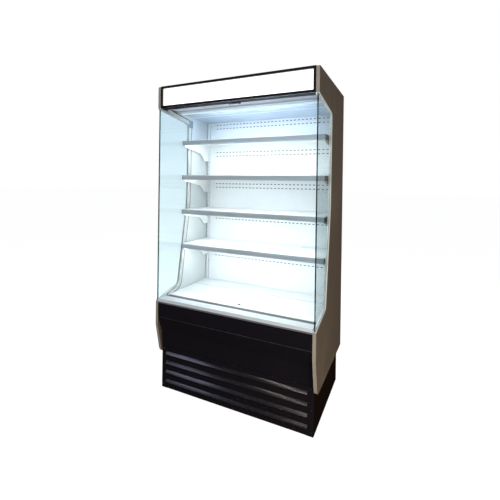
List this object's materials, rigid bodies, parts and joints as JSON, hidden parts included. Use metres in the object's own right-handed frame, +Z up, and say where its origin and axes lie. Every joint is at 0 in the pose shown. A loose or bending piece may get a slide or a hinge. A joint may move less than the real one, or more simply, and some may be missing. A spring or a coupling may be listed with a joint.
{
  "type": "open multideck display fridge",
  "caption": "Upright open-front chilled display case with lit tilting shelves, side glass, lit blank header, pull-down night curtain and a louvered machine base.",
  "frame": {"origin": "on the floor, at the middle of the plan outline", "axes": "+Z up, +X to the right as seen by a shopper in front, +Y to the back; the open front faces -Y"},
  "size_m": [1.105, 0.77, 2.083],
  "materials": {
    "panel_paint": "satin",
    "black_paint": "gloss",
    "base_paint": "satin",
    "white_paint": "satin",
    "tub_paint": "satin",
    "grey_plastic": "satin",
    "dark_grille": "satin",
    "side_glass": "polished",
    "sign_white": "satin",
    "lamp_lens": "satin",
    "rail_blue": "satin",
    "galvanised": "dull",
    "aluminium": "anodised",
    "dark_plastic": "satin",
    "curtain_cloth": "woven",
    "fins": "dull",
    "compressor_black": "gloss"
  },
  "bodies": {
    "cabinet": {"insulated_tub": "tub_paint", "left_end_panel": "panel_paint", "left_side_glass": "side_glass", "left_glass_trim": "grey_plastic", "left_upright": "white_paint", "right_end_panel": "panel_paint", "right_side_glass": "side_glass", "right_glass_trim": "grey_plastic", "right_upright": "white_paint", "header_frame": "black_paint", "header_sign": "sign_white", "header_box": "base_paint", "header_lamp": "lamp_lens", "canopy_panel": "white_paint", "canopy_lamp": "lamp_lens", "air_honeycomb": "white_paint", "curtain_cassette": "aluminium", "rear_duct_panel": "white_paint", "return_air_grille": "dark_grille", "sill": "grey_plastic", "front_bumper_panel": "black_paint", "lower_front_panel": "black_paint", "louver_panel": "black_paint", "base_frame": "base_paint", "rear_grille": "base_paint", "condenser_coil": "fins", "condenser_fan_shroud": "galvanised", "compressor": "compressor_black", "condensate_pan": "dark_plastic", "evaporator_coil": "fins", "evaporator_fan_plate": "galvanised"},
    "curtain": {"curtain_bar": "aluminium", "curtain_handle": "dark_plastic", "curtain_fabric": "curtain_cloth"},
    "curtain_roll": {"curtain_roller": "curtain_cloth"},
    "condenser_fan_wheel": {"condenser_fan": "dark_plastic"},
    "left_evaporator_fan_wheel": {"left_evaporator_fan": "dark_plastic"},
    "right_evaporator_fan_wheel": {"right_evaporator_fan": "dark_plastic"},
    "front_pan": {"front_deck_pan": "white_paint"},
    "rear_pan": {"rear_deck_pan": "white_paint"},
    "shelf_1": {"shelf_1_deck": "white_paint", "shelf_1_left_bracket": "white_paint", "shelf_1_right_bracket": "white_paint", "shelf_1_price_rail": "rail_blue", "shelf_1_lamp": "lamp_lens"},
    "shelf_2": {"shelf_2_deck": "white_paint", "shelf_2_left_bracket": "white_paint", "shelf_2_right_bracket": "white_paint", "shelf_2_price_rail": "rail_blue", "shelf_2_lamp": "lamp_lens"},
    "shelf_3": {"shelf_3_deck": "white_paint", "shelf_3_left_bracket": "white_paint", "shelf_3_right_bracket": "white_paint", "shelf_3_price_rail": "rail_blue", "shelf_3_lamp": "lamp_lens"},
    "shelf_4": {"shelf_4_deck": "white_paint", "shelf_4_left_bracket": "white_paint", "shelf_4_right_bracket": "white_paint", "shelf_4_price_rail": "rail_blue", "shelf_4_lamp": "lamp_lens"}
  },
  "joints": [
    {"name": "shelf_1_tilt", "type": "hinge", "parent": "cabinet", "child": "shelf_1", "pos_m": [0, 0.23725, 1.7185], "axis": [-1, 0, 0], "range_deg": [0, 12]},
    {"name": "shelf_2_tilt", "type": "hinge", "parent": "cabinet", "child": "shelf_2", "pos_m": [0, 0.23725, 1.4615], "axis": [-1, 0, 0], "range_deg": [0, 12]},
    {"name": "shelf_3_tilt", "type": "hinge", "parent": "cabinet", "child": "shelf_3", "pos_m": [0, 0.23725, 1.2045], "axis": [-1, 0, 0], "range_deg": [0, 12]},
    {"name": "shelf_4_tilt", "type": "hinge", "parent": "cabinet", "child": "shelf_4", "pos_m": [0, 0.23725, 0.9475], "axis": [-1, 0, 0], "range_deg": [0, 12]},
    {"name": "curtain_pull", "type": "slide", "parent": "cabinet", "child": "curtain", "axis": [0, 0, -1], "range_m": [0, 1.285], "stiffness_N_per_m": 12, "springref_m": -1.9, "deforming": ["curtain_fabric"]},
    {"name": "curtain_roll_turn", "type": "hinge", "parent": "cabinet", "child": "curtain_roll", "pos_m": [0, -0.28034, 1.98535], "axis": [1, 0, 0], "range_deg": [0, 5200]},
    {"name": "condenser_fan_spin", "type": "hinge", "parent": "cabinet", "child": "condenser_fan_wheel", "pos_m": [0.26, -0.21, 0.198], "axis": [0, -1, 0], "continuous": true},
    {"name": "left_evaporator_fan_spin", "type": "hinge", "parent": "cabinet", "child": "left_evaporator_fan_wheel", "pos_m": [-0.26, 0.085, 0.5295], "axis": [0, -1, 0], "continuous": true},
    {"name": "right_evaporator_fan_spin", "type": "hinge", "parent": "cabinet", "child": "right_evaporator_fan_wheel", "pos_m": [0.26, 0.085, 0.5295], "axis": [0, -1, 0], "continuous": true},
    {"name": "front_pan_lift", "type": "slide", "parent": "cabinet", "child": "front_pan", "axis": [0, 0, 1], "range_m": [0, 0.15]},
    {"name": "rear_pan_lift", "type": "slide", "parent": "cabinet", "child": "rear_pan", "axis": [0, 0, 1], "range_m": [0, 0.15]}
  ],
  "couplings": [
    {"joint": "curtain_roll_turn", "follows": "curtain_pull", "rad_per_m": 69}
  ]
}
